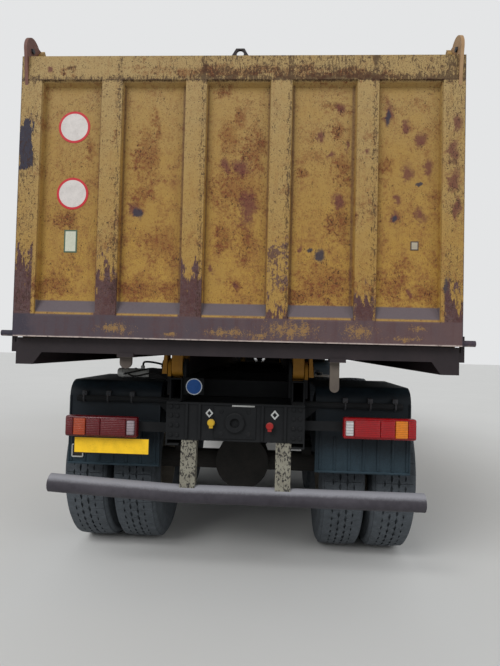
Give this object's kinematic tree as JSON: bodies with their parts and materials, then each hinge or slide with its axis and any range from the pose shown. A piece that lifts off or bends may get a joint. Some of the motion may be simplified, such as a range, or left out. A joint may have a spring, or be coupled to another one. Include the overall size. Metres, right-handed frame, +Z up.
{
  "type": "dump truck",
  "caption": "Three-axle tipper lorry with a high ribbed steel bed that tilts to the rear, a top-hung tailgate, a front telescopic hoist and a tilting forward cab.",
  "frame": {"origin": "centre of the truck's outer box, on the ground", "axes": "+Y forwards along the truck, +X to the truck's right, +Z up"},
  "size_m": [2.92, 7.69, 3.265],
  "materials": {
    "bed_paint": "ochre-yellow paint, chipped and rusted",
    "tailgate_paint": "ochre-yellow paint, chipped and rusted",
    "ear_steel": "rusted bare steel",
    "chassis_paint": "dusty dark paint",
    "strut_paint": "chipped cream paint",
    "hoist_paint": "dark paint",
    "hoist_chrome": "polished",
    "cast_metal": "dusty cast iron",
    "tank_metal": "dull aluminium",
    "tyre_rubber": "dusty rubber",
    "rim_paint": "worn paint",
    "guard_plastic": "dusty black plastic",
    "lamp_plastic": "clear and coloured lenses",
    "headlamp_plastic": "clear lens",
    "cab_paint": "worn yellow paint",
    "cab_dark": "dark plastic",
    "glazing": "clear",
    "seat_cloth": "dark woven cloth",
    "mirror_shell": "dark plastic"
  },
  "bodies": {
    "chassis": {"chassis_rails": "chassis_paint", "crossmembers": "chassis_paint", "subframe": "chassis_paint", "front_bumper": "cab_dark", "headlamps": "headlamp_plastic", "front_steps": "cab_dark", "front_mudguards": "guard_plastic", "engine_block": "cast_metal", "propeller_shafts": "chassis_paint", "fuel_tank": "tank_metal", "battery_box": "guard_plastic", "air_tanks": "chassis_paint", "silencer": "tank_metal", "leaf_springs": "chassis_paint", "rear_axles": "cast_metal", "front_axle": "cast_metal", "rear_brackets": "chassis_paint", "rear_mudguards": "guard_plastic", "tail_lamps": "lamp_plastic", "underrun_tube": "strut_paint", "underrun_struts": "strut_paint"},
    "bed": {"bed_floor": "bed_paint", "bed_sides": "bed_paint", "bed_underframe": "bed_paint", "headboard": "bed_paint"},
    "tailgate": {"tailgate_panel": "tailgate_paint", "tailgate_ears": "ear_steel"},
    "hoist_barrel": {"hoist_barrel": "hoist_paint"},
    "hoist_stage_1": {"hoist_stage_1": "hoist_chrome"},
    "hoist_stage_2": {"hoist_stage_2": "hoist_chrome"},
    "hoist_stage_3": {"hoist_stage_3": "hoist_chrome"},
    "cab": {"cab_shell": "cab_paint", "cab_glass": "glazing", "cab_grille": "cab_dark", "cab_seats": "seat_cloth", "dashboard": "cab_dark", "steering_wheel": "cab_dark", "cab_mirrors": "mirror_shell"},
    "door_left": {"door_left": "cab_paint", "door_glass_left": "glazing"},
    "door_right": {"door_right": "cab_paint", "door_glass_right": "glazing"},
    "knuckle_left": {"knuckle_left": "cast_metal"},
    "knuckle_right": {"knuckle_right": "cast_metal"},
    "tie_rod": {"tie_rod": "cast_metal"},
    "front_wheel_left": {"front_rim_left": "rim_paint", "front_tyre_left": "tyre_rubber"},
    "front_wheel_right": {"front_rim_right": "rim_paint", "front_tyre_right": "tyre_rubber"},
    "rear_wheels_left_1": {"rear_rims_left_1": "rim_paint", "rear_tyres_left_1": "tyre_rubber"},
    "rear_wheels_left_2": {"rear_rims_left_2": "rim_paint", "rear_tyres_left_2": "tyre_rubber"},
    "rear_wheels_right_1": {"rear_rims_right_1": "rim_paint", "rear_tyres_right_1": "tyre_rubber"},
    "rear_wheels_right_2": {"rear_rims_right_2": "rim_paint", "rear_tyres_right_2": "tyre_rubber"}
  },
  "joints": [
    {"name": "bed_tilt", "type": "hinge", "parent": "chassis", "child": "bed", "pos_m": [0, -3.315, 1.36], "axis": [1, 0, 0], "range_deg": [0, 48]},
    {"name": "tailgate_swing", "type": "hinge", "parent": "bed", "child": "tailgate", "pos_m": [0, -3.685, 3.2], "axis": [-1, 0, 0], "range_deg": [0, 70]},
    {"name": "hoist_lean", "type": "hinge", "parent": "bed", "child": "hoist_barrel", "pos_m": [0, 1.495, 1.6], "axis": [-1, 0, 0], "range_deg": [0, 23.9]},
    {"name": "hoist_slide_1", "type": "slide", "parent": "hoist_barrel", "child": "hoist_stage_1", "axis": [0, 0, -1], "range_m": [0, 1.293]},
    {"name": "hoist_slide_2", "type": "slide", "parent": "hoist_stage_1", "child": "hoist_stage_2", "axis": [0, 0, -1], "range_m": [0, 1.293]},
    {"name": "hoist_slide_3", "type": "slide", "parent": "hoist_stage_2", "child": "hoist_stage_3", "axis": [0, 0, -1], "range_m": [0, 1.293]},
    {"name": "cab_tilt", "type": "hinge", "parent": "chassis", "child": "cab", "pos_m": [0, 3.605, 0.92], "axis": [-1, 0, 0], "range_deg": [0, 55]},
    {"name": "door_swing_left", "type": "hinge", "parent": "cab", "child": "door_left", "pos_m": [-1.2, 3.295, 2], "axis": [0, 0, -1], "range_deg": [0, 65]},
    {"name": "door_swing_right", "type": "hinge", "parent": "cab", "child": "door_right", "pos_m": [1.2, 3.295, 2], "axis": [0, 0, 1], "range_deg": [0, 65]},
    {"name": "steer_left", "type": "hinge", "parent": "chassis", "child": "knuckle_left", "pos_m": [-0.905, 2.435, 0.6], "axis": [0, 0, 1], "range_deg": [-35, 35]},
    {"name": "steer_right", "type": "hinge", "parent": "chassis", "child": "knuckle_right", "pos_m": [0.905, 2.435, 0.6], "axis": [0, 0, 1], "range_deg": [-35, 35]},
    {"name": "tie_rod_turn", "type": "hinge", "parent": "knuckle_left", "child": "tie_rod", "pos_m": [-0.905, 2.27, 0.46], "axis": [0, 0, 1], "range_deg": [-35, 35]},
    {"name": "front_roll_left", "type": "hinge", "parent": "knuckle_left", "child": "front_wheel_left", "pos_m": [-1.04, 2.435, 0.6], "axis": [1, 0, 0], "continuous": true},
    {"name": "rear_roll_left_1", "type": "hinge", "parent": "chassis", "child": "rear_wheels_left_1", "pos_m": [-0.8975, -1.155, 0.6], "axis": [1, 0, 0], "continuous": true},
    {"name": "rear_roll_left_2", "type": "hinge", "parent": "chassis", "child": "rear_wheels_left_2", "pos_m": [-0.8975, -2.525, 0.6], "axis": [1, 0, 0], "continuous": true},
    {"name": "front_roll_right", "type": "hinge", "parent": "knuckle_right", "child": "front_wheel_right", "pos_m": [1.04, 2.435, 0.6], "axis": [1, 0, 0], "continuous": true},
    {"name": "rear_roll_right_1", "type": "hinge", "parent": "chassis", "child": "rear_wheels_right_1", "pos_m": [0.8975, -1.155, 0.6], "axis": [1, 0, 0], "continuous": true},
    {"name": "rear_roll_right_2", "type": "hinge", "parent": "chassis", "child": "rear_wheels_right_2", "pos_m": [0.8975, -2.525, 0.6], "axis": [1, 0, 0], "continuous": true}
  ],
  "couplings": [
    {"joint": "hoist_lean", "follows": "bed_tilt", "ratio": 0.4955},
    {"joint": "hoist_slide_1", "follows": "bed_tilt", "m_per_rad": 1.5417},
    {"joint": "hoist_slide_2", "follows": "bed_tilt", "m_per_rad": 1.5417},
    {"joint": "hoist_slide_3", "follows": "bed_tilt", "m_per_rad": 1.5417},
    {"joint": "steer_right", "follows": "steer_left", "ratio": 1},
    {"joint": "tie_rod_turn", "follows": "steer_left", "ratio": -1}
  ]
}
